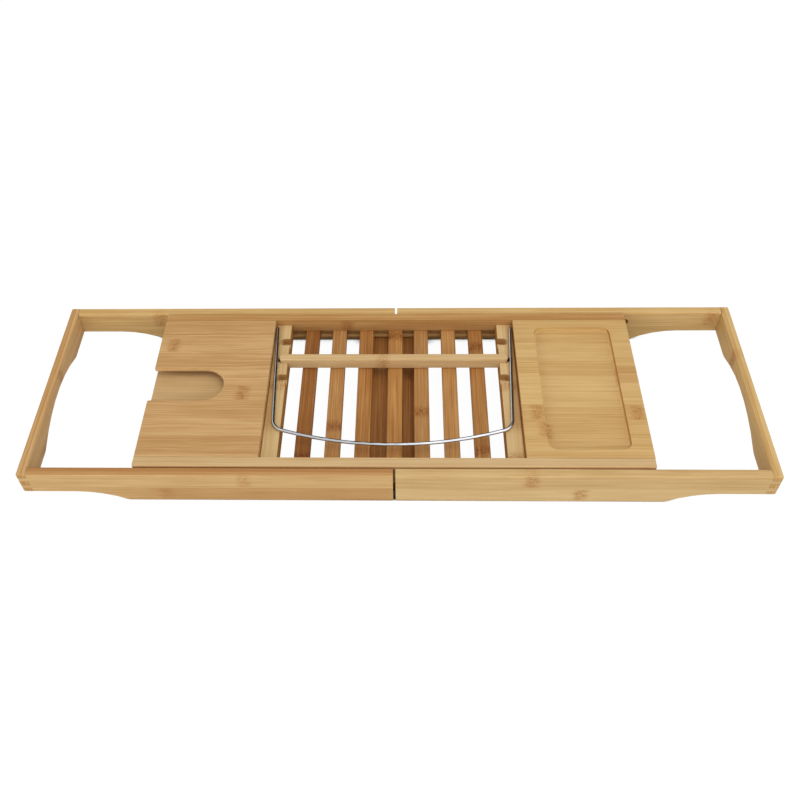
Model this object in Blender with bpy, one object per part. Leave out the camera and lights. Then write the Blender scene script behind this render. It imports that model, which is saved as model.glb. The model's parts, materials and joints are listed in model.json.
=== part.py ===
"""Extendable bath caddy in bamboo with a chrome wire book rest.

Two U-shaped arms slide along a slatted tray.  Each arm is two grooved side rails box-jointed
to an end board.  The tray has a wine glass slot on the left and a shallow dish on the right,
and in the middle seven slats, two notched blocks, a loose bar and a hinged wire bow.

Metres, Z up.  X runs along the caddy, Y from its front to its back.
The origin is on the floor, under the middle of the closed caddy.
"""

import math

import bmesh
import bpy
from mathutils import Vector

# Fits
seat_gap = 0.0003           # between pieces that touch or are glued
running_gap = 0.0004        # above, below and beside a sliding tongue
overrun = 0.002             # how far a cut runs past the face that it opens

# Closed caddy
overall_length = 0.700
overall_depth = 0.221
arm_height = 0.040          # tops of the arms above the floor
tray_rise = 0.001           # tray above the tops of the arms
tray_side_gap = 0.0008      # tray to each side rail
tray_middle = -0.00235      # middle of the tray from the middle of the closed arms
arm_travel = 0.175          # outward slide of each arm

# Side rails
rail_thickness = 0.0095
rail_meeting_gap = 0.0024   # between the left and right rails in the middle
rail_shallow_reach = 0.098  # from the end of the arm to the corner of the deep part
rail_cove_radius = 0.096
rail_edge_round = 0.0018

# End boards
end_board_thickness = 0.009
end_height = 0.0272         # height of the shallow end of an arm
arch_rise = 0.0138
arch_radius = 0.148
arch_foot_round = 0.018
finger_count = 5            # fingers of the box joint, top one on the end board

# Groove in each rail and the tongue that runs in it
groove_height = 0.009
groove_depth = 0.005
groove_middle_height = 0.0268
groove_outer_slack = 0.0063  # closed end of the groove past the tongue
tongue_length = 0.055
tongue_setback = 0.0013     # from the end of the tray
tongue_screw_inset = 0.0125
tongue_screw_head = 0.0048
tongue_screw_shank = 0.0024
tongue_screw_bite = 0.0065  # depth in the beam

# Tray frame
tray_length = 0.4823
beam_thickness = 0.010
beam_height = 0.0265
beam_end_round = 0.0018
beam_edge_round = 0.0012
slat_groove_depth = 0.005
slat_groove_reach = 0.112   # from the middle to its round end

# Boards at both ends of the tray
board_length = 0.1169
board_thickness = 0.011
board_edge_round = 0.0015

# Slot for the stem of a glass, with an undercut for its foot
stem_slot_width = 0.041
stem_slot_reach = 0.0728    # from the left edge to the tip of the round end
stem_slot_offset = 0.0004   # middle of the slot from the middle of the board
stem_slot_mouth_round = 0.002  # upright corners where the slot opens
foot_pocket_width = 0.076
foot_pocket_lip = 0.0035
glass_shelf_thickness = 0.007
glass_shelf_margin = 0.012  # shelf past the pocket on three sides
glass_shelf_corner = 0.010
glass_shelf_edge_round = 0.001

# Dish in the right board
dish_inner_margin = 0.021
dish_outer_margin = 0.0187
dish_side_margin = 0.0105
dish_offset = -0.0006       # middle of the dish from the middle of the board
dish_depth = 0.0043
dish_corner = 0.009
dish_cove = 0.0025

# Slats and the board under them
slat_count = 7
slat_width = 0.015
slat_pitch = 0.0286
slat_thickness = 0.0075
slat_top_drop = 0.0156      # slat tops below the top of the tray
middle_slat_shift = 0.0019  # to the right, as the slats lie loose in their grooves
slat_edge_round = 0.0012
brace_width = 0.060
brace_thickness = 0.008
brace_end_inset = 0.0004    # from the outer face of each beam
brace_edge_round = 0.0006
brace_screw_head = 0.005
brace_screw_shank = 0.0024
brace_screw_bite = 0.008    # in the solid outer half of a beam, beside its groove
brace_screw_line = 0.0034   # from the outer face of each beam
brace_screw_inset = 0.016   # from the side of the brace

# Notched blocks
block_width = 0.0163
block_top_drop = 0.007      # block tops below the top of the tray
block_height = 0.018
block_edge_round = 0.0012
notch_count = 3
notch_width = 0.0096
notch_pitch = 0.025
notch_reach = 0.0104        # from the inner face to the round end
notch_depth = 0.0085
first_notch_inset = 0.025   # from the back end of the block

# Loose bar in the second notches
bar_width = 0.0088
bar_height = 0.0126
bar_end_gap = 0.0018        # to the round end of a notch
bar_end_round = 0.0036      # upright corners of its ends
bar_edge_round = 0.0012
bar_notch = 1               # counted from the back, starting at zero

# Wire bow
wire_diameter = 0.0035
bow_pin_height_drop = 0.005  # hinge axis below the top of the tray
bow_pin_inset = 0.0055      # hinge axis from the back beam
bow_pin_length = 0.011      # in the board
bow_pin_bend = 0.003
bow_side_gap = 0.0009       # leg to the board at the bend
bow_leg_lean = 0.0078       # how far each leg leans in along its length
bow_front_gap = 0.0192      # middle of the front run to the front beam
bow_front_radius = 0.335
bow_corner_radius = 0.013

# Facets
arc_step = math.radians(7.5)
edge_segments = 3
round_steps = 16


# Levels and places that follow from the sizes above
half_length = overall_length / 2
half_depth = overall_depth / 2
shallow_bottom = arm_height - end_height
rail_inner = half_depth - rail_thickness
rail_start = rail_meeting_gap / 2
rail_deep_reach = half_length - rail_shallow_reach
end_board_inner = half_length - end_board_thickness
finger_height = end_height / finger_count

tray_top = arm_height + tray_rise
tray_half = tray_length / 2
beam_outer = rail_inner - tray_side_gap
beam_inner = beam_outer - beam_thickness
beam_bottom = tray_top - beam_height
board_side = beam_inner - seat_gap
board_inner = tray_half - board_length
board_bottom = tray_top - board_thickness

tongue_height = groove_height - 2 * running_gap
tongue_start = beam_outer + seat_gap
tongue_stop = rail_inner + groove_depth - running_gap
tongue_outer_end = tray_half - tongue_setback
tongue_inner_end = tongue_outer_end - tongue_length
groove_inner_end = tongue_inner_end - abs(tray_middle) - arm_travel - seat_gap
groove_outer_end = tongue_outer_end + groove_outer_slack

slat_top = tray_top - slat_top_drop
slat_bottom = slat_top - slat_thickness
slat_end = beam_inner + slat_groove_depth - seat_gap
brace_top = beam_bottom - seat_gap
brace_bottom = brace_top - brace_thickness
brace_end = beam_outer - brace_end_inset
brace_screw_y = beam_outer - brace_screw_line

block_outer = board_inner - seat_gap
block_inner = block_outer - block_width
block_top = tray_top - block_top_drop
notch_floor = block_top - notch_depth
first_notch = board_side - first_notch_inset
bar_middle = first_notch - bar_notch * notch_pitch
bar_bottom = notch_floor + seat_gap
bar_end = block_inner + notch_reach - bar_end_gap

hinge_y = beam_inner - bow_pin_inset
hinge_z = tray_top - bow_pin_height_drop
bow_front_reach = hinge_y + beam_inner - bow_front_gap
slot_y = stem_slot_offset
slot_radius = stem_slot_width / 2
slot_centre_x = -tray_half + stem_slot_reach - slot_radius
pocket_radius = foot_pocket_width / 2

light_bamboo = (0.62, 0.41, 0.19)
mid_bamboo = (0.54, 0.33, 0.14)
dark_bamboo = (0.38, 0.19, 0.07)
chrome = (0.72, 0.73, 0.75)
steel = (0.55, 0.54, 0.52)


def clear_scene():
    for item in list(bpy.data.objects):
        bpy.data.objects.remove(item, do_unlink=True)


def material(name, colour, roughness, metallic):
    made = bpy.data.materials.new(name)
    made.use_nodes = True
    shader = made.node_tree.nodes["Principled BSDF"]
    shader.inputs["Base Color"].default_value = (*colour, 1.0)
    shader.inputs["Roughness"].default_value = roughness
    shader.inputs["Metallic"].default_value = metallic
    made.diffuse_color = (*colour, 1.0)
    return made


def on_axis(axis, along, across):
    """A point at `along` on the axis, with the other two coordinates in XYZ order."""
    first, second = across
    if axis == "X":
        return Vector((along, first, second))
    if axis == "Y":
        return Vector((first, along, second))
    return Vector((first, second, along))


def arc(centre, radius, start, stop):
    """Points of an arc between two angles, both ends included."""
    steps = max(2, math.ceil(abs(stop - start) / arc_step))
    points = []
    for step in range(steps + 1):
        angle = start + (stop - start) * step / steps
        across = centre[0] + radius * math.cos(angle)
        up = centre[1] + radius * math.sin(angle)
        points.append((across, up))
    return points


def stadium(left, right, middle, height):
    """A long hole or bar with round ends, between two outermost points."""
    radius = height / 2
    points = arc((right - radius, middle), radius, -math.pi / 2, math.pi / 2)
    points += arc((left + radius, middle), radius, math.pi / 2, math.pi * 3 / 2)
    return points


def rounded_rectangle(left, right, low, high, radius):
    points = arc((right - radius, low + radius), radius, -math.pi / 2, 0)
    points += arc((right - radius, high - radius), radius, 0, math.pi / 2)
    points += arc((left + radius, high - radius), radius, math.pi / 2, math.pi)
    points += arc((left + radius, low + radius), radius, math.pi, math.pi * 3 / 2)
    return points


def prism(outline, axis, start, stop):
    """A closed solid: a flat outline extruded along an axis."""
    mesh = bmesh.new()
    ring = [mesh.verts.new(on_axis(axis, start, point)) for point in outline]
    face = mesh.faces.new(ring)
    grown = bmesh.ops.extrude_face_region(mesh, geom=[face])
    moved = [item for item in grown["geom"] if isinstance(item, bmesh.types.BMVert)]
    bmesh.ops.translate(mesh, verts=moved, vec=on_axis(axis, stop - start, (0, 0)))
    bmesh.ops.recalc_face_normals(mesh, faces=mesh.faces)
    return mesh


def box(x_range, y_range, z_range):
    left, right = sorted(x_range)
    front, back = sorted(y_range)
    low, high = sorted(z_range)
    outline = [(left, front), (right, front), (right, back), (left, back)]
    return prism(outline, "Z", low, high)


def turned(profile, axis, centre, inward):
    """A closed turned solid.  The profile is (radius, depth) and starts and ends on the axis."""
    mesh = bmesh.new()
    rings = []
    for radius, depth in profile:
        along = centre[0] + inward * depth
        if radius == 0:
            rings.append([mesh.verts.new(on_axis(axis, along, centre[1:]))])
            continue
        ring = []
        for step in range(round_steps):
            angle = math.tau * step / round_steps
            across = centre[1] + radius * math.cos(angle)
            up = centre[2] + radius * math.sin(angle)
            ring.append(mesh.verts.new(on_axis(axis, along, (across, up))))
        rings.append(ring)
    for outer, inner in zip(rings, rings[1:]):
        for step in range(round_steps):
            after = (step + 1) % round_steps
            corners = [outer[step % len(outer)], outer[after % len(outer)]]
            corners += [inner[after % len(inner)], inner[step % len(inner)]]
            mesh.faces.new(list(dict.fromkeys(corners)))
    bmesh.ops.recalc_face_normals(mesh, faces=mesh.faces)
    return mesh


def sharp_edges(mesh, wanted):
    """Edges that turn by more than 40 degrees and whose two ends pass a test."""
    mesh.normal_update()
    found = []
    for edge in mesh.edges:
        if len(edge.link_faces) == 2 and edge.calc_face_angle(0) > math.radians(40):
            if wanted(edge.verts[0].co, edge.verts[1].co):
                found.append(edge)
    return found


def round_edges(mesh, radius, wanted):
    edges = sharp_edges(mesh, wanted)
    bmesh.ops.bevel(
        mesh,
        geom=edges,
        offset=radius,
        offset_type="OFFSET",
        segments=edge_segments,
        profile=0.5,
        affect="EDGES",
        clamp_overlap=True,
    )
    bmesh.ops.recalc_face_normals(mesh, faces=mesh.faces)


def same(first, second):
    return abs(first - second) < seat_gap / 10


def every_edge(first, second):
    return True


def to_object(mesh, name, origin, parent):
    """An object whose own origin is at a world point, with or without a parent."""
    bmesh.ops.translate(mesh, verts=mesh.verts, vec=-origin)
    data = bpy.data.meshes.new(name)
    mesh.to_mesh(data)
    mesh.free()
    made = bpy.data.objects.new(name, data)
    bpy.context.scene.collection.objects.link(made)
    set_place(made, origin, parent)
    return made


def set_place(made, origin, parent):
    made.location = origin
    if parent is not None:
        made.parent = parent
        made.location = origin - world_origin(parent)


def world_origin(item):
    place = Vector(item.location)
    while item.parent is not None:
        item = item.parent
        place += item.location
    return place


def piece(mesh, name, colour, roughness, metallic=0.0, origin=None, parent=None):
    made = to_object(mesh, name, origin or Vector((0, 0, 0)), parent)
    made.data.materials.append(material(name + "_finish", colour, roughness, metallic))
    made.data.shade_smooth()
    made.data.set_sharp_from_angle(angle=math.radians(35))
    return made


def cut(target, mesh, name):
    """Take a solid away from a piece.  The cutter follows the piece and isn't rendered."""
    cutter = to_object(mesh, name, world_origin(target), target)
    cutter.hide_render = True
    cutter.display_type = "WIRE"
    modifier = target.modifiers.new(name, "BOOLEAN")
    modifier.operation = "DIFFERENCE"
    modifier.solver = "EXACT"
    modifier.object = cutter
    return cutter


def empty(name, origin):
    made = bpy.data.objects.new(name, None)
    bpy.context.scene.collection.objects.link(made)
    made.location = origin
    made.empty_display_size = rail_thickness
    return made


# Arms

def rail_outline(side):
    """Side view of a rail: deep in the middle, then a cove up to the shallow end."""
    cove_start = math.acos((rail_cove_radius - shallow_bottom) / rail_cove_radius)
    cove_centre_x = rail_deep_reach + rail_cove_radius * math.sin(cove_start)
    centre = (cove_centre_x, shallow_bottom - rail_cove_radius)
    cove = arc(centre, rail_cove_radius, math.pi / 2 + cove_start, math.pi / 2)
    points = [(rail_start, 0)] + cove
    points += [(half_length, shallow_bottom), (half_length, arm_height), (rail_start, arm_height)]
    return [(side * across, up) for across, up in points]


def finger_bands(first):
    """Levels of every other finger, counted from the top."""
    bands = []
    for finger in range(first, finger_count, 2):
        top = arm_height - finger * finger_height
        bands.append((top - finger_height, top))
    return bands


def make_rail(name, side, face, parent):
    inner = face * rail_inner
    outer = face * half_depth

    def worn(first, second):
        on_meeting_end = same(abs(first.x), rail_start) and same(abs(second.x), rail_start)
        on_arm_end = same(abs(first.x), half_length) and same(abs(second.x), half_length)
        on_outer_face = same(first.y, outer) and same(second.y, outer)
        return not on_meeting_end and (not on_arm_end or on_outer_face)

    mesh = prism(rail_outline(side), "Y", inner, outer)
    round_edges(mesh, rail_edge_round, worn)
    made = piece(mesh, name, light_bamboo, 0.45, 0.0, world_origin(parent), parent)

    for number, (low, high) in enumerate(finger_bands(0)):
        lowest = low - (seat_gap if number < finger_count // 2 else overrun)
        highest = high + (seat_gap if number > 0 else overrun)
        reach = (side * (end_board_inner - seat_gap), side * (half_length + overrun))
        notch = box(reach, (face * (rail_inner - overrun), face * (half_depth + overrun)),
                    (lowest, highest))
        cut(made, notch, name + "_finger_" + str(number + 1))

    ends = sorted((side * groove_inner_end, side * groove_outer_end))
    slot = stadium(ends[0], ends[1], groove_middle_height, groove_height)
    start = face * (rail_inner - overrun)
    cut(made, prism(slot, "Y", start, face * (rail_inner + groove_depth)), name + "_groove")
    return made


def end_board_outline():
    """Face view of an end board: flat feet and a low arch between them, with soft shoulders."""
    arch_top = shallow_bottom + arch_rise
    arch_centre = arch_top - arch_radius
    foot_centre = shallow_bottom + arch_foot_round
    reach = arch_radius + arch_foot_round
    rise = foot_centre - arch_centre
    foot_y = math.sqrt(reach * reach - rise * rise)
    turn = math.atan2(rise, foot_y)
    points = [(-half_depth, arm_height), (-half_depth, shallow_bottom)]
    points += arc((-foot_y, foot_centre), arch_foot_round, -math.pi / 2, -turn)
    points += arc((0, arch_centre), arch_radius, math.pi - turn, turn)[1:-1]
    points += arc((foot_y, foot_centre), arch_foot_round, math.pi + turn, math.pi * 3 / 2)
    points += [(half_depth, shallow_bottom), (half_depth, arm_height)]
    return points


def make_end_board(name, side, parent):
    outer = side * half_length
    inner = side * end_board_inner
    mesh = prism(end_board_outline(), "X", inner, outer)
    for face in (-1, 1):
        everything = list(mesh.verts) + list(mesh.edges) + list(mesh.faces)
        place = Vector((0, face * rail_inner, 0))
        bmesh.ops.bisect_plane(mesh, geom=everything, plane_co=place, plane_no=(0, 1, 0))

    def worn(first, second):
        both_inside = same(first.x, inner) and same(second.x, inner)
        widest = max(abs(first.y), abs(second.y))
        if both_inside:
            return widest < rail_inner + seat_gap
        return True

    round_edges(mesh, rail_edge_round, worn)
    made = piece(mesh, name, mid_bamboo, 0.45, 0.0, world_origin(parent), parent)
    for face in (-1, 1):
        for number, (low, high) in enumerate(finger_bands(1)):
            reach = sorted((inner - side * overrun, outer + side * overrun))
            across = (face * (rail_inner - seat_gap), face * (half_depth + overrun))
            notch = box(reach, across, (low, high))
            which = "_front_" if face < 0 else "_back_"
            cut(made, notch, name + which + "finger_" + str(number + 1))
    return made


def make_arm(name, side):
    """Each arm hangs on an empty in the line of its grooves, and slides along X."""
    place = Vector((side * (tongue_inner_end + tongue_outer_end) / 2, 0, groove_middle_height))
    frame = empty(name, place)
    make_rail(name + "_front_rail", side, -1, frame)
    make_rail(name + "_back_rail", side, 1, frame)
    make_end_board(name + "_end_board", side, frame)


# Tray

def beam_height_edges(first, second):
    """The four upright corners of a beam."""
    return same(first.x, second.x) and same(first.y, second.y)


def make_beam(name, face):
    across = (face * beam_inner, face * beam_outer)
    mesh = box((-tray_half, tray_half), across, (beam_bottom, tray_top))
    outer = face * beam_outer

    def outer_corner(first, second):
        return beam_height_edges(first, second) and same(first.y, outer)

    def around_top_and_bottom(first, second):
        inside = same(abs(first.y), beam_inner) and same(abs(second.y), beam_inner)
        if inside:
            return same(first.z, beam_bottom) and same(second.z, beam_bottom)
        return same(first.z, second.z)

    round_edges(mesh, beam_end_round, outer_corner)
    round_edges(mesh, beam_edge_round, around_top_and_bottom)
    made = piece(mesh, name, light_bamboo, 0.45)

    low = slat_bottom - seat_gap
    high = slat_top + seat_gap
    slot = stadium(-slat_groove_reach, slat_groove_reach, (low + high) / 2, high - low)
    bottom = face * (beam_inner + slat_groove_depth)
    cut(made, prism(slot, "Y", face * (beam_inner - overrun), bottom), name + "_slat_groove")

    for number, x in enumerate(tongue_screw_places()):
        centre = (face * (beam_outer + overrun), x, groove_middle_height)
        radius = tongue_screw_shank / 2 + seat_gap
        depth = overrun + tongue_screw_bite + seat_gap
        hole = turned([(0, 0), (radius, 0), (radius, depth), (0, depth)], "Y", centre, -face)
        cut(made, hole, name + "_side_hole_" + str(number + 1))
    for number, x in enumerate(brace_screw_places()):
        centre = (beam_bottom - overrun, x, face * brace_screw_y)
        radius = brace_screw_shank / 2 + seat_gap
        depth = overrun + brace_screw_bite + seat_gap
        hole = turned([(0, 0), (radius, 0), (radius, depth), (0, depth)], "Z", centre, 1)
        cut(made, hole, name + "_under_hole_" + str(number + 1))
    return made


def tongue_screw_places():
    inner = tongue_inner_end + tongue_screw_inset
    outer = tongue_outer_end - tongue_screw_inset
    return [-outer, -inner, inner, outer]


def brace_screw_places():
    reach = brace_width / 2 - brace_screw_inset
    return [-reach, reach]


def countersunk_screw(axis, centre, inward, head, shank, length):
    """Its head is a right-angled cone.  The centre is the middle of the top of the head."""
    head_radius = head / 2
    shank_radius = shank / 2
    profile = [
        (0, 0),
        (head_radius, 0),
        (shank_radius, head_radius - shank_radius),
        (shank_radius, length - shank_radius),
        (0, length),
    ]
    return turned(profile, axis, centre, inward)


def countersunk_hole(axis, centre, inward, head, shank, length):
    """Clear of the sunk screw by a seat gap all round, and open at both ends."""
    head_radius = head / 2 + seat_gap
    shank_radius = shank / 2 + seat_gap
    profile = [
        (0, -overrun),
        (head_radius, -overrun),
        (head_radius, seat_gap),
        (shank_radius, seat_gap + head_radius - shank_radius),
        (shank_radius, length + overrun),
        (0, length + overrun),
    ]
    return turned(profile, axis, centre, inward)


def make_tongues():
    """Four tongues with round ends on the outer faces of the beams, two screws in each."""
    screw_number = 0
    thickness = tongue_stop - tongue_start
    for side, side_name in ((-1, "left"), (1, "right")):
        for face, face_name in ((-1, "front"), (1, "back")):
            name = side_name + "_" + face_name + "_tongue"
            ends = sorted((side * tongue_inner_end, side * tongue_outer_end))
            outline = stadium(ends[0], ends[1], groove_middle_height, tongue_height)
            mesh = prism(outline, "Y", face * tongue_start, face * tongue_stop)
            made = piece(mesh, name, mid_bamboo, 0.5)
            places = [x for x in tongue_screw_places() if x * side > 0]
            for number, x in enumerate(places):
                centre = (face * tongue_stop, x, groove_middle_height)
                hole = countersunk_hole("Y", centre, -face, tongue_screw_head,
                                        tongue_screw_shank, thickness)
                cut(made, hole, name + "_hole_" + str(number + 1))
                sunk = (face * (tongue_stop - seat_gap), x, groove_middle_height)
                length = thickness + tongue_screw_bite
                screw = countersunk_screw("Y", sunk, -face, tongue_screw_head,
                                          tongue_screw_shank, length)
                screw_number += 1
                piece(screw, "tongue_screw_" + str(screw_number), steel, 0.35, 1.0)


def board_outline_with_slot():
    """Plan of the left board, with the stem slot open to its left edge."""
    low = slot_y - slot_radius
    high = slot_y + slot_radius
    points = [(-tray_half, -board_side), (-board_inner, -board_side)]
    points += [(-board_inner, board_side), (-tray_half, board_side), (-tray_half, high)]
    points += arc((slot_centre_x, slot_y), slot_radius, math.pi / 2, -math.pi / 2)
    points += [(-tray_half, low)]
    return points


def board_top_edge(first, second):
    """Upper edges of a board, apart from those that lie against the beams."""
    at_beam = same(abs(first.y), board_side) and same(abs(second.y), board_side)
    on_top = same(first.z, tray_top) and same(second.z, tray_top)
    return on_top and not at_beam


def pin_hole(side):
    """Blind hole for a pin of the bow in the inner edge of a board."""
    radius = wire_diameter / 2 + seat_gap
    depth = overrun + bow_pin_length + seat_gap
    centre = (side * (board_inner - overrun), hinge_y, hinge_z)
    return turned([(0, 0), (radius, 0), (radius, depth), (0, depth)], "X", centre, side)


def make_left_board():
    mesh = prism(board_outline_with_slot(), "Z", board_bottom, tray_top)

    def mouth_corner(first, second):
        upright = same(first.x, -tray_half) and same(second.x, -tray_half) and same(first.y, second.y)
        return upright and same(abs(first.y - slot_y), slot_radius)

    round_edges(mesh, stem_slot_mouth_round, mouth_corner)
    round_edges(mesh, board_edge_round, board_top_edge)
    made = piece(mesh, "left_board", light_bamboo, 0.45)

    low = slot_y - pocket_radius
    high = slot_y + pocket_radius
    left = -tray_half - overrun
    pocket = [(left, low)]
    pocket += arc((slot_centre_x, slot_y), pocket_radius, -math.pi / 2, math.pi / 2)
    pocket += [(left, high)]
    roof = tray_top - foot_pocket_lip
    cut(made, prism(pocket, "Z", board_bottom - overrun, roof), "left_board_foot_pocket")
    cut(made, pin_hole(-1), "left_board_pin_hole")
    return made


def make_glass_shelf():
    top = board_bottom - seat_gap
    reach = pocket_radius + glass_shelf_margin
    right = slot_centre_x + reach
    radius = glass_shelf_corner
    low = slot_y - reach
    high = slot_y + reach
    outline = [(-tray_half, low)]
    outline += arc((right - radius, low + radius), radius, -math.pi / 2, 0)
    outline += arc((right - radius, high - radius), radius, 0, math.pi / 2)
    outline += [(-tray_half, high)]
    mesh = prism(outline, "Z", top - glass_shelf_thickness, top)

    def lower(first, second):
        bottom = top - glass_shelf_thickness
        return same(first.z, bottom) and same(second.z, bottom)

    round_edges(mesh, glass_shelf_edge_round, lower)
    return piece(mesh, "glass_shelf", mid_bamboo, 0.5)


def make_right_board():
    mesh = box((board_inner, tray_half), (-board_side, board_side), (board_bottom, tray_top))
    round_edges(mesh, board_edge_round, board_top_edge)
    made = piece(mesh, "right_board", light_bamboo, 0.45)

    left = board_inner + dish_inner_margin
    right = tray_half - dish_outer_margin
    reach = beam_inner - dish_side_margin
    floor = tray_top - dish_depth
    outline = rounded_rectangle(left, right, dish_offset - reach, dish_offset + reach, dish_corner)
    dish = prism(outline, "Z", floor, tray_top + overrun)

    def at_floor(first, second):
        return same(first.z, floor) and same(second.z, floor)

    round_edges(dish, dish_cove, at_floor)
    cut(made, dish, "right_board_dish")
    cut(made, pin_hole(1), "right_board_pin_hole")
    return made


def make_slats():
    for number in range(slat_count):
        middle = (number - (slat_count - 1) / 2) * slat_pitch
        if number == slat_count // 2:
            middle += middle_slat_shift
        reach = (middle - slat_width / 2, middle + slat_width / 2)
        mesh = box(reach, (-slat_end, slat_end), (slat_bottom, slat_top))

        def lengthwise(first, second):
            return same(first.x, second.x) and same(first.z, second.z)

        round_edges(mesh, slat_edge_round, lengthwise)
        piece(mesh, "slat_" + str(number + 1), dark_bamboo, 0.5)


def make_brace():
    """A wide board under the slats, screwed up into both beams."""
    reach = (-brace_width / 2, brace_width / 2)
    mesh = box(reach, (-brace_end, brace_end), (brace_bottom, brace_top))
    round_edges(mesh, brace_edge_round, every_edge)
    made = piece(mesh, "centre_brace", dark_bamboo, 0.5)
    number = 0
    for face in (-1, 1):
        for x in brace_screw_places():
            number += 1
            across = face * brace_screw_y
            centre = (brace_bottom, x, across)
            hole = countersunk_hole("Z", centre, 1, brace_screw_head, brace_screw_shank,
                                    brace_thickness)
            cut(made, hole, "centre_brace_hole_" + str(number))
            sunk = (brace_bottom + seat_gap, x, across)
            length = brace_thickness + brace_screw_bite
            screw = countersunk_screw("Z", sunk, 1, brace_screw_head, brace_screw_shank, length)
            piece(screw, "brace_screw_" + str(number), steel, 0.35, 1.0)
    return made


def notch_places():
    return [first_notch - number * notch_pitch for number in range(notch_count)]


def make_block(name, side):
    """A block along the inner edge of a board, with notches that open up and inwards."""
    across = (side * block_inner, side * block_outer)
    mesh = box(across, (-board_side, board_side), (block_top - block_height, block_top))

    def lengthwise(first, second):
        return same(first.x, second.x) and same(first.z, second.z)

    round_edges(mesh, block_edge_round, lengthwise)
    made = piece(mesh, name, light_bamboo, 0.5)
    for number, y in enumerate(notch_places()):
        radius = notch_width / 2
        start = side * (block_inner - overrun)
        centre = (side * (block_inner + notch_reach - radius), y)
        turn = math.pi / 2 if side > 0 else math.pi * 3 / 2
        outline = [(start, y + side * radius)]
        outline += arc(centre, radius, turn, turn - math.pi)
        outline += [(start, y - side * radius)]
        notch = prism(outline, "Z", notch_floor, block_top + overrun)
        cut(made, notch, name + "_notch_" + str(number + 1))
    return made


def make_bar():
    """Loose bar that lies in a notch of each block.  Its origin is where it rests."""
    across = (bar_middle - bar_width / 2, bar_middle + bar_width / 2)
    outline = rounded_rectangle(-bar_end, bar_end, across[0], across[1], bar_end_round)
    mesh = prism(outline, "Z", bar_bottom, bar_bottom + bar_height)
    round_edges(mesh, bar_edge_round, every_edge)
    origin = Vector((0, bar_middle, bar_bottom))
    return piece(mesh, "book_bar", light_bamboo, 0.45, 0.0, origin)


def bow_half():
    """Centre line of the right half of the bow, from its pin to the middle of the front run.

    The leg leans in from the pin bend, and a small corner arc joins it to the wide front arc.
    Points are (x, y) with y measured from the hinge axis.
    """
    leg_x = board_inner - bow_side_gap - wire_diameter / 2
    run = bow_front_reach - bow_pin_bend
    slope = bow_leg_lean / run
    direction = Vector((-slope, -1)).normalized()
    inside = Vector((direction.y, -direction.x))

    front_centre = Vector((0, bow_front_radius - bow_front_reach))
    start = Vector((leg_x, 0))
    base = start + inside * bow_corner_radius - front_centre
    reach = bow_front_radius - bow_corner_radius
    half_b = base.dot(direction)
    travel = -half_b + math.sqrt(half_b * half_b - base.dot(base) + reach * reach)
    corner = start + inside * bow_corner_radius + direction * travel
    outward = -inside
    first_turn = math.atan2(outward.y, outward.x)
    to_corner = corner - front_centre
    last_turn = math.atan2(to_corner.y, to_corner.x)

    lean = math.atan(slope)
    bend_centre = (leg_x + bow_pin_bend, -bow_pin_bend)
    points = [(board_inner + bow_pin_length, 0)]
    points += arc(bend_centre, bow_pin_bend, math.pi / 2, math.pi + lean)
    points += arc(corner, bow_corner_radius, first_turn, last_turn)
    steps = 16
    for step in range(1, steps + 1):
        angle = last_turn + (-math.pi / 2 - last_turn) * step / steps
        across = front_centre.x + bow_front_radius * math.cos(angle)
        along = front_centre.y + bow_front_radius * math.sin(angle)
        points.append((across, along))
    return points


def make_bow():
    """Bent wire with its origin on the hinge axis, which runs along X through both pins."""
    half = bow_half()
    line = [(-across, along) for across, along in half[:-1]]
    line += [half[-1]] + list(reversed(half[:-1]))
    data = bpy.data.curves.new("wire_bow", "CURVE")
    data.dimensions = "3D"
    data.bevel_depth = wire_diameter / 2
    data.bevel_resolution = 4
    data.use_fill_caps = True
    spline = data.splines.new("POLY")
    spline.points.add(len(line) - 1)
    for point, (across, along) in zip(spline.points, line):
        point.co = (across, along, 0, 1)
    made = bpy.data.objects.new("wire_bow", data)
    bpy.context.scene.collection.objects.link(made)
    made.location = (0, hinge_y, hinge_z)
    data.materials.append(material("wire_bow_finish", chrome, 0.12, 1.0))
    return made


def place_tray():
    """The tray is modelled about its own middle, and stands a little left of the arms' middle."""
    for item in bpy.data.objects:
        if item.parent is None and item.type != "EMPTY":
            item.location.x += tray_middle


def main():
    clear_scene()
    make_arm("left_arm", -1)
    make_arm("right_arm", 1)
    make_beam("front_beam", -1)
    make_beam("back_beam", 1)
    make_tongues()
    make_left_board()
    make_glass_shelf()
    make_right_board()
    make_slats()
    make_brace()
    make_block("left_rest_block", -1)
    make_block("right_rest_block", 1)
    make_bar()
    make_bow()
    place_tray()


main()
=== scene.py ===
"""Bamboo, chrome and zinc finishes, studio and camera for the extendable bath caddy.

Sizes and places are in millimetres in the finishes, and in metres in the studio and the camera.
"""

import functools
import json
import math

import bmesh
import bpy
from mathutils import Matrix, Vector


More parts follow.
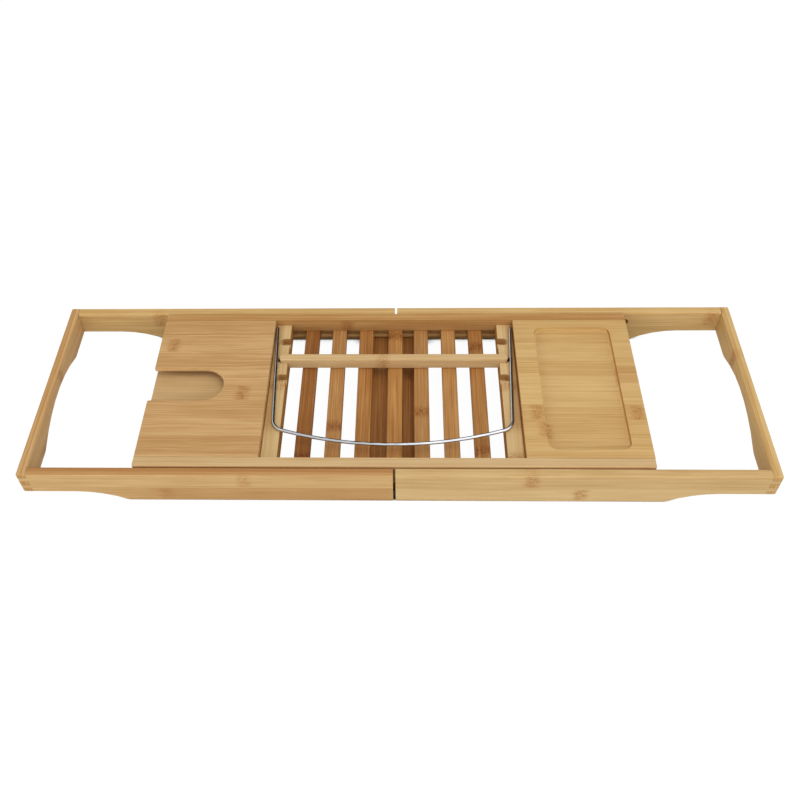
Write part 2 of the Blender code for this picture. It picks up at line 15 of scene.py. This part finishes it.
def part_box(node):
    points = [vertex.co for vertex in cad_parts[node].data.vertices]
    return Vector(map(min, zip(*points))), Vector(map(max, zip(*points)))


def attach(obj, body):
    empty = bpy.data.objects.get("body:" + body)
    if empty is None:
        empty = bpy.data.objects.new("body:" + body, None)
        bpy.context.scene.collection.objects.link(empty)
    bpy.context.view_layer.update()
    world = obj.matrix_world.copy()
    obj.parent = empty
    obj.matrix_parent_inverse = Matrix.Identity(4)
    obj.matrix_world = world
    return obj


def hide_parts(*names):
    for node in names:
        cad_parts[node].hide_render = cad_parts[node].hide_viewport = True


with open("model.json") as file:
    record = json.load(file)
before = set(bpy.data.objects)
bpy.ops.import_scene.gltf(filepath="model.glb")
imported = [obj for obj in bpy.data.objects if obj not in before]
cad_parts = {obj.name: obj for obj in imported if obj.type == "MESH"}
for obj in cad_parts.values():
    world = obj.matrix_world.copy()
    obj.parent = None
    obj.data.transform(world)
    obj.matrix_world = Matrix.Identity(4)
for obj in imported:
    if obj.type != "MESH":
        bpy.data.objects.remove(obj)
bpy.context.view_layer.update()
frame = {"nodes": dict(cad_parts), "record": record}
nodes = frame["nodes"]

AXES = ("X", "Y", "Z")
MILLIMETRES = 1000.0        # in a metre


def linear(red, green, blue):
    """A colour written as 0 to 255 on screen, as the shader's linear values."""
    def channel(value):
        share = value / 255
        return share / 12.92 if share <= 0.04045 else ((share + 0.055) / 1.055) ** 2.4
    return (channel(red), channel(green), channel(blue), 1.0)


def reach(node, axis):
    """Where a solid starts and stops along an axis, in millimetres."""
    low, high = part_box(node)
    number = AXES.index(axis)
    return low[number] * MILLIMETRES, high[number] * MILLIMETRES


# Shader sums

class Field:
    """A socket that Python's operators combine into Math nodes."""

    def __init__(self, shader, socket):
        self.shader = shader
        self.socket = socket

    def combine(self, operation, *values):
        return self.shader.add("ShaderNodeMath", {"operation": operation}, dict(enumerate(values)))

    def __add__(self, other):
        return self.combine("ADD", self, other)

    __radd__ = __add__

    def __mul__(self, other):
        return self.combine("MULTIPLY", self, other)

    __rmul__ = __mul__

    def __sub__(self, other):
        return self.combine("SUBTRACT", self, other)

    def __rsub__(self, other):
        return self.combine("SUBTRACT", other, self)

    def __truediv__(self, other):
        return self.combine("DIVIDE", self, other)

    def __rtruediv__(self, other):
        return self.combine("DIVIDE", other, self)

    def __abs__(self):
        return self.combine("ABSOLUTE", self)

    def larger(self, other):
        return self.combine("MAXIMUM", self, other)

    def floor(self):
        return self.combine("FLOOR", self)

    def to_whole(self):
        """How far it is to the nearest whole number."""
        part = self.combine("FRACT", self)
        return self.combine("MINIMUM", part, 1 - part)

    def ease(self, low, high):
        """Zero below low, one above high, smooth between them."""
        sockets = {"Value": self, "From Min": low, "From Max": high}
        return self.shader.add("ShaderNodeMapRange", {"interpolation_type": "SMOOTHSTEP"}, sockets)

    def fade(self, low, high):
        """One below low, zero above high, smooth between them."""
        return 1 - self.ease(low, high)

    def swing(self, weight):
        """How far this is above or below a half, times the weight."""
        return (self - 0.5) * weight


# Sockets of the Mix node that hold its factor and its colours
MIX_FACTOR, MIX_FIRST, MIX_SECOND, MIX_RESULT = 0, 6, 7, 2


class Shader:
    """Adds nodes to an emptied node tree."""

    def __init__(self, tree):
        self.tree = tree
        self.tree.nodes.clear()

    def add(self, kind, settings=None, sockets=None, out=0):
        """A node with its settings, and with a value or a link for each of its sockets."""
        node = self.tree.nodes.new(kind)
        for name, value in (settings or {}).items():
            setattr(node, name, value)
        for name, value in (sockets or {}).items():
            if isinstance(value, Field):
                self.tree.links.new(value.socket, node.inputs[name])
            else:
                node.inputs[name].default_value = value
        return Field(self, node.outputs[out]) if node.outputs else node

    def rays(self):
        """One for rays from the camera, and one for reflected rays."""
        seen = self.add("ShaderNodeLightPath", out="Is Camera Ray")
        return seen, Field(self, seen.socket.node.outputs["Is Glossy Ray"])

    def parts(self, vector):
        first = self.add("ShaderNodeSeparateXYZ", sockets={0: vector})
        return [Field(self, output) for output in first.socket.node.outputs]

    def vector(self, values):
        return self.add("ShaderNodeCombineXYZ", sockets=dict(enumerate(values)))

    def scaled(self, place, size):
        """A vector that grows by one over each size."""
        return self.vector([part / length for part, length in zip(place, size)])

    def noise(self, place, size, detail=2.0, rough=0.6):
        """Smooth random values around a half, in patches of about the size."""
        sockets = {"Vector": self.scaled(place, size), "Scale": 1.0, "Detail": detail, "Roughness": rough}
        return self.add("ShaderNodeTexNoise", {"noise_dimensions": "3D"}, sockets)

    def cells(self, place, size):
        """Distance to the nearest point of a scattered pattern."""
        sockets = {"Vector": self.scaled(place, size), "Scale": 1.0}
        return self.add("ShaderNodeTexVoronoi", {"feature": "F1"}, sockets, "Distance")

    def chance(self, *cell):
        """Three random fields for a cell."""
        settings = {"noise_dimensions": "3D"}
        colour = self.add("ShaderNodeTexWhiteNoise", settings, {"Vector": self.vector(cell)}, "Color")
        return self.parts(colour)

    def mix(self, factor, first, second):
        settings = {"data_type": "RGBA", "blend_type": "MIX", "clamp_factor": True}
        sockets = {MIX_FACTOR: factor, MIX_FIRST: first, MIX_SECOND: second}
        return self.add("ShaderNodeMix", settings, sockets, MIX_RESULT)


class Finish(Shader):
    """A material under construction."""

    def __init__(self, name):
        self.material = bpy.data.materials.new(name)
        self.material.use_nodes = True
        super().__init__(self.material.node_tree)

    def place(self):
        """Object coordinates, as three fields."""
        sockets = {0: self.add("ShaderNodeTexCoord", out="Object"), "Scale": MILLIMETRES}
        return self.parts(self.add("ShaderNodeVectorMath", {"operation": "SCALE"}, sockets))

    def facing(self):
        """How far the surface faces each axis of the object, from 0 to 1."""
        socket = self.add("ShaderNodeTexCoord", out="Normal")
        return [abs(part) for part in self.parts(socket)]

    def surface(self, colour, roughness, height, metallic=0.0, gloss=0.5):
        bump = {"Height": height, "Distance": 1 / MILLIMETRES, "Strength": 1.0}
        sockets = {
            "Base Color": colour,
            "Roughness": roughness,
            "Metallic": metallic,
            "Specular IOR Level": gloss,
            "Normal": self.add("ShaderNodeBump", sockets=bump),
        }
        shader = self.add("ShaderNodeBsdfPrincipled", sockets=sockets)
        self.add("ShaderNodeOutputMaterial", sockets={"Surface": shader})
        return self.material


# Bamboo

CREAM = {"light": linear(218, 192, 146), "dark": linear(190, 155, 104), "knot": linear(168, 112, 56)}
PALE = {"light": linear(217, 183, 125), "dark": linear(187, 146, 87), "knot": linear(164, 104, 46)}
HONEY = {"light": linear(208, 171, 120), "dark": linear(177, 133, 82), "knot": linear(152, 92, 40)}
AMBER = {"light": linear(212, 172, 112), "dark": linear(180, 133, 76), "knot": linear(138, 76, 30)}
TOASTED = {"light": linear(194, 143, 84), "dark": linear(152, 97, 45), "knot": linear(118, 64, 24)}
DUSKY = {"light": linear(176, 121, 68), "dark": linear(134, 82, 38), "knot": linear(102, 54, 20)}
# colour of the painted shadow in the gaps at the ends of the book bar
PAINTED_GAP_SHADOW = linear(40, 22, 10)

STRIP = 20                  # width of a common strip
PLY, PLY_START = 40, -140   # thickness of a common ply, and where the plies start

# Patches of the grain along, across and through the strips, and how much each changes the tone
FIBRE_SIZE, FIBRE_WEIGHT = (80, 0.55, 0.55), 1.6
STREAK_SIZE, STREAK_WEIGHT = (170, 1.4, 1.4), 1.1
CLOUD_SIZE, CLOUD_WEIGHT = (50, 13, 13), 0.5
STRIP_WEIGHT = 0.36         # from strip to strip
STRIP_SHIFT = 900           # how far the grain may move along from strip to strip
CELL_SEED = 0.37

# Patterns over two directions have a seed for the third
WAVE_SIZE = (45, 16, 1)
WOBBLE_SIZE, WOBBLE = (5, 5, 1), 9
BEND_SIZE, BEND, BEND_SEED = (5, 7, 1), 7, 2.3

# Glue lines: how far from the joint they fade out, and how strong they are
STRIP_GLUE_WIDTH, STRIP_GLUE = 0.3, 0.22
PLY_GLUE_START, PLY_GLUE_STOP, PLY_GLUE = 0.1, 0.5, 0.55

# Knots: a patch of short bent lines, and a ridge beside its middle
LINE_SIZE, LINE_START, LINE_STOP = (5.5, 0.9, 0.9), 0.4, 0.66
PATCH_START, PATCH_STOP, PATCH_TINT, PATCH_LINES = 1.0, 10, 0.16, 0.62
RIDGE_PLACE, RIDGE_START, RIDGE_STOP, RIDGE_TINT, RIDGE_LINES = 1.5, 0.3, 2.2, 0.2, 0.45
KNOT_MARGIN = 3             # where a knot fades out beside its strip's edge
MARGIN_WOBBLE = 0.15        # share of the wobble that moves this margin

# Sawn ends
PORE_SIZE, PORE_START, PORE_STOP, PORE_WEIGHT = (0.7, 0.7, 8), 0.12, 0.5, 0.3
FACING_START, FACING_STOP = 0.6, 0.9

# Relief and sheen
FIBRE_HEIGHT, GLUE_DEPTH, KNOT_HEIGHT = 0.03, 0.1, 0.03
ROUGHNESS, FIBRE_ROUGHNESS, END_ROUGHNESS, GLUE_ROUGHNESS = 0.52, 0.2, 0.15, 0.2
OILED, DRY = 0.12, 0.0


def between(first, second, share=0.5):
    """A tone part of the way from the first one to the second."""
    return {part: tuple(a + (b - a) * share for a, b in zip(first[part], second[part])) for part in first}


def grain(finish, spot, cells, seed, contrast, flame):
    """The fibres, and all of the grain from dark to light.  Each strip has its own tone."""
    run, side, depth = spot
    tint, shift, _ = finish.chance(*[cell.floor() for cell in cells], seed + CELL_SEED)
    slide = run + shift * STRIP_SHIFT
    bent = side + finish.noise((slide, side, seed), WAVE_SIZE, rough=0.5).swing(flame)
    fibres = finish.noise((slide, bent, depth), FIBRE_SIZE, detail=3.0, rough=0.65)
    streaks = finish.noise((slide, bent, depth), STREAK_SIZE)
    clouds = finish.noise((slide, side, depth), CLOUD_SIZE, rough=0.5)
    light = (0.5 + fibres.swing(FIBRE_WEIGHT * contrast) + streaks.swing(STREAK_WEIGHT * contrast)
             + tint.swing(STRIP_WEIGHT * contrast) + clouds.swing(CLOUD_WEIGHT * contrast))
    return fibres, light.ease(0.0, 1.0)


def shaded(finish, colour, place, shades, usual):
    """The colour, darkened inside all of each shade's ranges.  Some shades are the wood's own darker strips,
    the others painted shade in hollows and gaps.
    """
    for amount, ranges, *other in shades:
        band = amount
        for axis, start, stop, soft in ranges:
            where = place[AXES.index(axis)]
            band = where.ease(start - soft, start + soft) * where.fade(stop - soft, stop + soft) * band
        colour = finish.mix(band, colour, other[0] if other else usual)
    return colour


def glue_lines(side_cell, strip, deep_cell, ply):
    """How strongly glue shows between the strips and between the plies."""
    strips = (side_cell.to_whole() * strip).fade(0.0, STRIP_GLUE_WIDTH) * STRIP_GLUE
    plies = (deep_cell.to_whole() * ply).fade(PLY_GLUE_START, PLY_GLUE_STOP) * PLY_GLUE
    return strips.larger(plies)


def knot_marks(finish, spot, knots, strip, strip_start, seed):
    """How strongly the knots show.  Each lies across the whole of its strip."""
    run, side, depth = spot
    wobble = finish.noise((side, depth, seed), WOBBLE_SIZE).swing(WOBBLE)
    bend = finish.noise((run, side, seed + BEND_SEED), BEND_SIZE, detail=1.0, rough=0.5).swing(BEND)
    lines = finish.noise((run, side + bend, depth + bend), LINE_SIZE).ease(LINE_START, LINE_STOP)
    marks = []
    for knot_run, knot_side in knots:
        middle = strip_start + (math.floor((knot_side - strip_start) / strip) + 0.5) * strip
        aside = abs(side - middle + wobble * MARGIN_WOBBLE)
        offset = run - knot_run + wobble
        patch = abs(offset).fade(PATCH_START, PATCH_STOP) * (PATCH_TINT + lines * PATCH_LINES)
        ridge = abs(offset - RIDGE_PLACE).fade(RIDGE_START, RIDGE_STOP) * (RIDGE_TINT + lines * RIDGE_LINES)
        marks.append(patch.larger(ridge) * aside.fade(strip / 2 - KNOT_MARGIN, strip / 2))
    return functools.reduce(Field.larger, marks)


def sawn_colour(finish, spot, tone, ends):
    """Sawn ends, with a pore in the middle of each small cell."""
    run, side, depth = spot
    pores = finish.cells((side, depth, run), PORE_SIZE).fade(PORE_START, PORE_STOP)
    return finish.mix(ends + pores * PORE_WEIGHT, tone["dark"], tone["knot"])


def bamboo(name, tone, along, across, strip_start, seed, strip=STRIP, ply=PLY, ply_start=PLY_START, knots=(),
           contrast=1.0, shades=(), flame=0.0, ends=0.76, sides=0.0, marked=1.0, gloss=OILED):
    """Strips of bamboo laid side by side and in plies, with fibres, glue lines and knots.

    along and across name the object's axes that the fibres and the strips follow.  A knot is
    (along, across).  A shade is (amount, ranges) or (amount, ranges, colour), and each of its
    ranges is (axis, from, to, soft).  flame is how far the fibres wave, ends is how much darker
    the sawn ends are, sides is how much painted shade darkens the upright faces
    beside the strips, and marked is how strongly the knots show.
    """
    finish = Finish(name)
    place = finish.place()
    facing = finish.facing()
    along = AXES.index(along)
    across = AXES.index(across)
    deep = 3 - along - across
    run, side, depth = place[along], place[across], place[deep]
    spot = (run, side, depth)
    side_cell = (side - strip_start) / strip
    deep_cell = (depth - ply_start) / ply

    fibres, light = grain(finish, spot, (side_cell, deep_cell), seed, contrast, flame)
    colour = finish.mix(light, tone["dark"], tone["light"])
    colour = shaded(finish, colour, place, shades, tone["knot"])

    glue = glue_lines(side_cell, strip, deep_cell, ply)
    colour = finish.mix(glue, colour, tone["knot"])
    height = fibres * FIBRE_HEIGHT - glue * GLUE_DEPTH
    if knots:
        marks = knot_marks(finish, spot, knots, strip, strip_start, seed) * marked
        colour = finish.mix(marks, colour, tone["knot"])
        height = height + marks * KNOT_HEIGHT

    end_grain = facing[along].ease(FACING_START, FACING_STOP)
    colour = finish.mix(end_grain * ends, colour, sawn_colour(finish, spot, tone, ends))
    # painted shade on the upright faces beside the strips
    if sides:
        beside = facing[across].ease(FACING_START, FACING_STOP)
        colour = finish.mix(beside * sides, colour, tone["knot"])

    roughness = (ROUGHNESS + fibres.swing(FIBRE_ROUGHNESS) + end_grain * END_ROUGHNESS
                 + glue * GLUE_ROUGHNESS)
    return finish.surface(colour, roughness, height, gloss=gloss)


# Metal

CHROME_GREY, CHROME_SMUDGE = linear(192, 195, 200), linear(218, 220, 224)
SMUDGE_SIZE, DRAWN_SIZE = (11, 11, 11), (1.2, 1.2, 1.2)
WIRE_ROUGHNESS, SMUDGE_ROUGHNESS, DRAWN_ROUGHNESS, DRAWN_HEIGHT = 0.03, 0.05, 0.02, 0.004

ZINC_GREY, ZINC_BLOTCH = linear(150, 150, 146), linear(196, 194, 186)
SPECK_SIZE, BLOTCH_SIZE = (0.5, 0.5, 0.5), (2.2, 2.2, 2.2)
ZINC_ROUGHNESS, SPECK_ROUGHNESS, SPECK_HEIGHT = 0.26, 0.22, 0.01


def polished_wire(name):
    """Chrome, clean and mirror-like but for faint smudges and the marks of drawing."""
    finish = Finish(name)
    place = finish.place()
    smudge = finish.noise(place, SMUDGE_SIZE, detail=3.0)
    drawn = finish.noise(place, DRAWN_SIZE, rough=0.7)
    colour = finish.mix(smudge.ease(0.3, 0.8), CHROME_GREY, CHROME_SMUDGE)
    roughness = WIRE_ROUGHNESS + smudge.ease(0.35, 0.75) * SMUDGE_ROUGHNESS + drawn * DRAWN_ROUGHNESS
    return finish.surface(colour, roughness, drawn * DRAWN_HEIGHT, metallic=1.0)


def zinc_screw(name):
    """Zinc plate with a fine grain and pale blotches."""
    finish = Finish(name)
    place = finish.place()
    speck = finish.noise(place, SPECK_SIZE, detail=3.0)
    blotch = finish.noise(place, BLOTCH_SIZE, rough=0.5)
    colour = finish.mix(blotch.ease(0.3, 0.7), ZINC_GREY, ZINC_BLOTCH)
    roughness = ZINC_ROUGHNESS + speck * SPECK_ROUGHNESS
    return finish.surface(colour, roughness, speck * SPECK_HEIGHT, metallic=1.0)


# Pieces

MERGE_DISTANCE = 2e-6       # metres
FLAT_ANGLE = math.radians(0.5)
SHARP_ANGLE = math.radians(32)
FACE_WEIGHT = 100           # how far large flat faces lead the normals of the small ones beside them

body_of = {node: body for body, members in frame["record"]["behaviour"]["bodies"].items()
           for node in members}


def smooth_mesh(node):
    """The node's solid as one merged mesh with smooth rounded edges."""
    shape = bmesh.new()
    shape.from_mesh(nodes[node].data)
    bmesh.ops.remove_doubles(shape, verts=shape.verts, dist=MERGE_DISTANCE)
    bmesh.ops.dissolve_limit(shape, angle_limit=FLAT_ANGLE, verts=shape.verts, edges=shape.edges)
    data = bpy.data.meshes.new(node + "_finished")
    shape.to_mesh(data)
    shape.free()
    data.shade_smooth()
    data.set_sharp_from_angle(angle=SHARP_ANGLE)
    return data


def dress(node, material):
    """A smooth copy with its finish, in place of the frame's node."""
    data = smooth_mesh(node)
    data.materials.append(material)
    piece = bpy.data.objects.new(node + "_finished", data)
    bpy.context.scene.collection.objects.link(piece)
    weigh = piece.modifiers.new("flat faces lead", "WEIGHTED_NORMAL")
    weigh.keep_sharp = True
    weigh.weight = FACE_WEIGHT
    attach(piece, body_of[node])
    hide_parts(node)


def board(node, slot, tone, along, across, strip_start, **look):
    """Dresses a node in bamboo of its own."""
    dress(node, bamboo(node + "_bamboo", tone, along, across, strip_start, **look))


# Arms: fibres run along each board, and each board is two strips high
WALL_START = 1              # height at which the lower strip of an upright board starts
RAILS = {
    "left_arm_front_rail": {
        "tone": between(HONEY, PALE), "marked": 0.65, "knots": [(-138.6, 29), (-214, 10)], "seed": 3,
        "shades": [(0.7, [("Y", -106.2, -100, 0.15), ("Z", 38, 42, 0.5)]),
                   (0.45, [("Y", -112, -106.2, 0.15), ("Z", 39.4, 42, 0.2)]),
                   (0.3, [("Z", -1, 20.5, 0.4), ("X", -235, 10, 30)])],
    },
    "left_arm_back_rail": {"tone": PALE, "knots": [(-254, 31.7), (-60, 12)], "seed": 11},
    "right_arm_front_rail": {
        "tone": between(PALE, CREAM), "marked": 1.2, "knots": [(125.5, 32.4), (172, 10.6)], "seed": 7,
    },
    "right_arm_back_rail": {"tone": PALE, "knots": [(331, 30.8), (205, 12)], "seed": 5},
}
for node, look in RAILS.items():
    board(node, "arm_bamboo", along="X", across="Z", strip_start=WALL_START, ends=0.5, **look)

END_PLY = 20
END_GLUE_DEPTH = 5.4        # from the outer face to the glue line between the plies
END_BOARDS = {
    "left_arm_end_board": {
        "tone": between(HONEY, AMBER, 0.4), "knots": [(18, 31), (-64, 17)], "seed": 21,
        "ply_start": reach("left_arm_end_board", "X")[0] + END_GLUE_DEPTH - END_PLY,
    },
    "right_arm_end_board": {
        "tone": PALE, "marked": 1.5, "knots": [(42, 31), (-40, 17)], "seed": 23,
        "ply_start": reach("right_arm_end_board", "X")[1] - END_GLUE_DEPTH,
    },
}
for node, look in END_BOARDS.items():
    board(node, "end_board_bamboo", along="Y", across="Z", strip_start=WALL_START, ply=END_PLY, ends=0.3,
          **look)

# Beams: the back one has a glue line near the face that shows in the window, and painted shade on that face
board("front_beam", "beam_bamboo", CREAM, "X", "Z", WALL_START, knots=[(228, 40), (-60, 30)], seed=31,
      contrast=0.8)
BEAM_PLY = 30
BEAM_GLUE_DEPTH = 2.7       # from the window's face to the glue line
beam_face = reach("back_beam", "Y")[0]
board("back_beam", "beam_bamboo", AMBER, "X", "Z", WALL_START, knots=[(206, 40), (-51, 34)], seed=33,
      ply=BEAM_PLY, ply_start=beam_face + BEAM_GLUE_DEPTH,
      shades=[(0.25, [("Y", beam_face - 1, beam_face + 0.3, 0.1)])])

# Boards
board("left_board", "board_bamboo", HONEY, "X", "Y", -86, strip=21.5, knots=[(-229, 57), (-151, -11)],
      seed=41, contrast=0.9, flame=5.0, ends=0.0, gloss=DRY)
board("right_board", "board_bamboo", PALE, "X", "Y", -87, strip=20.5,
      knots=[(231, -26), (143, -66), (137, -45)], seed=43, contrast=0.8, ends=0.8, marked=1.1,
      shades=[(0.3, [("X", 218, 245, 0.5), ("Y", 2, 24, 1.5)])])
board("glass_shelf", "shelf_bamboo", between(HONEY, CREAM, 0.3), "X", "Y", -12, seed=45, contrast=0.7)

# Slats in the order of their numbers: the tone, and the places of the knots along each
SLATS = [
    (DUSKY, [-78]),
    (between(TOASTED, HONEY, 0.3), [-40.6]),
    (between(TOASTED, DUSKY, 0.35), []),
    (TOASTED, [82.2]),
    (between(TOASTED, HONEY, 0.4), [-22]),
    (between(TOASTED, HONEY, 0.15), []),
    (between(TOASTED, HONEY, 0.1), [66.2, -69]),
]
# Each slat's upright faces, which stand in the gaps, get painted shade
for number, (tone, marks) in enumerate(SLATS, start=1):
    node = "slat_%d" % number
    middle = sum(reach(node, "X")) / 2
    board(node, "slat_bamboo", tone, "Y", "X", middle - STRIP / 2, knots=[(y, middle) for y in marks],
          seed=50 + number, contrast=1.2, sides=0.5, marked=1.4)
board("centre_brace", "slat_bamboo", between(DUSKY, TOASTED, 0.25), "Y", "X", -32, knots=[(35, 20)], seed=61)

# Blocks: painted shade beside the boards and on the faces to the slats, and a painted shadow in the gaps at
# the ends of the bar's notches
for side, inward, marks, seed in (("left", 1, [4], 63), ("right", -1, [4, -86], 65)):
    node = side + "_rest_block"
    outer, inner = reach(node, "X")[::inward]
    middle = outer + inward * 8
    beside_board = sorted((outer - inward * 4, outer + inward * 7.5))
    window_face = sorted((inner - inward * 0.3, inner + inward))
    notch_end = sorted((outer + inward * 5.5, outer + inward * 9))
    board(node, "block_bamboo", between(PALE, CREAM, 0.55), "Y", "X", middle - STRIP / 2,
          knots=[(y, middle) for y in marks], seed=seed, contrast=0.8, gloss=DRY,
          shades=[(0.4, [("X", *beside_board, 2.5), ("Y", -52, 120, 9)]),
                  (0.85, [("X", *window_face, 0.1)]),
                  (0.95, [("X", *notch_end, 0.2), ("Y", 34, 46, 0.4), ("Z", 20, 33, 0.4)], PAINTED_GAP_SHADOW)])

# Loose bar, and the tongues that the arms slide on
board("book_bar", "bar_bamboo", between(HONEY, CREAM), "X", "Z", 20, knots=[(-12.6, 38)], seed=71,
      contrast=0.9)
tongue_finish = bamboo("tongue_bamboo", HONEY, "X", "Z", 10, seed=73)
for place in ("left_front", "left_back", "right_front", "right_back"):
    dress(place + "_tongue", tongue_finish)

# Screws and wire
screw_finish = zinc_screw("zinc")
for name, count in (("tongue_screw", 8), ("brace_screw", 4)):
    for number in range(1, count + 1):
        dress("%s_%d" % (name, number), screw_finish)
dress("wire_bow", polished_wire("polished_chrome"))


# Studio

AMBIENT = 0.6               # light from all around
FLOOR_HALF_SIZE = 6.0
FLOOR_DROP = 0.0002         # below the caddy's feet
FLOOR_BOUNCE = 0.6          # share of the light that the floor throws back on the caddy
FLOOR_SHADOW = 0.08         # the same for the camera, which makes a soft shadow
FLOOR_WHITE = 0.96          # glow that the camera sees besides
FLOOR_MIRRORED = 0.4        # glow added in reflections
GAP_DARK, GAP_OPEN = 0.2, 0.4   # how open the space above the floor is where it is dark, and white


def studio_floor():
    """White sweep.  The camera sees it white, with a soft shadow, and with painted shade in narrow gaps,
    where ambient occlusion dims its glow.
    """
    shape = bmesh.new()
    bmesh.ops.create_grid(shape, x_segments=1, y_segments=1, size=FLOOR_HALF_SIZE)
    data = bpy.data.meshes.new("floor")
    shape.to_mesh(data)
    shape.free()
    floor = bpy.data.objects.new("floor", data)
    bpy.context.scene.collection.objects.link(floor)
    floor.location = (0, 0, -FLOOR_DROP)
    finish = Finish("white_floor")
    seen, mirrored = finish.rays()
    bounce = FLOOR_BOUNCE - seen * (FLOOR_BOUNCE - FLOOR_SHADOW)
    matt = finish.add("ShaderNodeBsdfDiffuse", sockets={"Color": bounce})
    below_slats = {"Distance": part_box("slat_1")[0][2]}
    space = finish.add("ShaderNodeAmbientOcclusion", sockets=below_slats, out="AO")
    strength = seen * FLOOR_WHITE * space.ease(GAP_DARK, GAP_OPEN) + mirrored * FLOOR_MIRRORED
    glow = finish.add("ShaderNodeEmission", sockets={"Strength": strength})
    both = finish.add("ShaderNodeAddShader", sockets={0: matt, 1: glow})
    finish.add("ShaderNodeOutputMaterial", sockets={"Surface": both})
    data.materials.append(finish.material)


# The studio in reflections
STUDIO_BRIGHTNESS = 0.92
RIGHT_BRIGHTNESS = 0.7      # added on the right
WALL_DARKNESS = 0.98        # share that the wall behind takes away


def studio_world():
    """White for the camera and soft for light.  In reflections it is a pale studio, brighter on
    the right, with a dark wall behind that ends below the ceiling and before the left."""
    world = bpy.data.worlds.new("studio")
    world.use_nodes = True
    room = Shader(world.node_tree)
    seen, mirrored = room.rays()
    x, y, z = room.parts(room.add("ShaderNodeTexCoord", out="Generated"))
    behind = y.ease(-0.1, 0.25)
    under_ceiling = z.fade(0.74, 0.9)
    off_the_left = x.ease(-0.45, -0.3)
    wall = behind * under_ceiling * off_the_left
    on_the_right = x.ease(-0.12, 0.2)
    bright = STUDIO_BRIGHTNESS + on_the_right * RIGHT_BRIGHTNESS
    reflection = bright * (1 - wall * WALL_DARKNESS)
    level = seen + (1 - seen) * (mirrored * reflection + (1 - mirrored) * AMBIENT)
    sky = room.add("ShaderNodeBackground", sockets={"Color": (1, 1, 1, 1), "Strength": level})
    room.add("ShaderNodeOutputWorld", sockets={"Surface": sky})
    bpy.context.scene.world = world


# Lamps: place, width, height and power
LAMPS = {
    "key": ((0.5, -0.35, 2.0), 1.8, 1.6, 14.5),
    "front_fill": ((-0.2, -1.9, 0.55), 2.6, 0.9, 13.5),
    "left_fill": ((-1.8, -0.3, 0.6), 1.0, 0.9, 8),
    "right_fill": ((1.8, -0.3, 0.6), 1.0, 0.9, 4),
}


def softbox(name, place, width, height, power):
    """A lamp that faces the middle of the caddy.  The wire mirrors the world and not the lamps."""
    data = bpy.data.lights.new(name, "AREA")
    data.shape = "RECTANGLE"
    data.size = width
    data.size_y = height
    data.energy = power
    lamp = bpy.data.objects.new(name, data)
    bpy.context.scene.collection.objects.link(lamp)
    lamp.location = place
    lamp.rotation_euler = (-Vector(place)).to_track_quat("-Z", "Y").to_euler()
    lamp.visible_glossy = False


# Camera, fitted to corners of the caddy in the photograph
PITCH = math.radians(49.49)
YAW = math.radians(-3.068)
ROLL = math.radians(-2.294)
CAMERA_PLACE = Vector((0.01139, -0.59244, 0.71168))
PICTURE_WIDTH = 800         # pixels, as the next two are
FOCAL_LENGTH = 906.4
OPTICAL_CENTRE = 375.13     # from the picture's left edge
SENSOR_WIDTH = 36           # millimetres
NEAR_LIMIT = 0.01


def camera():
    """The photograph's view: 49 degrees down, close to the middle, with a small shift."""
    forward = Vector((math.sin(YAW) * math.cos(PITCH), math.cos(YAW) * math.cos(PITCH), -math.sin(PITCH)))
    right = Vector((math.cos(YAW), -math.sin(YAW), 0))
    up = right.cross(forward)
    turned_right = math.cos(ROLL) * right + math.sin(ROLL) * up
    turned_up = -math.sin(ROLL) * right + math.cos(ROLL) * up
    data = bpy.data.cameras.new("photo_camera")
    data.sensor_width = SENSOR_WIDTH
    data.lens = FOCAL_LENGTH / PICTURE_WIDTH * SENSOR_WIDTH
    data.shift_x = (PICTURE_WIDTH / 2 - OPTICAL_CENTRE) / PICTURE_WIDTH
    data.clip_start = NEAR_LIMIT
    lens = bpy.data.objects.new("photo_camera", data)
    bpy.context.scene.collection.objects.link(lens)
    turn = Matrix((turned_right, turned_up, -forward)).transposed().to_4x4()
    turn.translation = CAMERA_PLACE
    lens.matrix_world = turn
    bpy.context.scene.camera = lens


studio_floor()
studio_world()
for name, lamp in LAMPS.items():
    softbox(name, *lamp)
camera()
bpy.context.scene.view_settings.view_transform = "Standard"
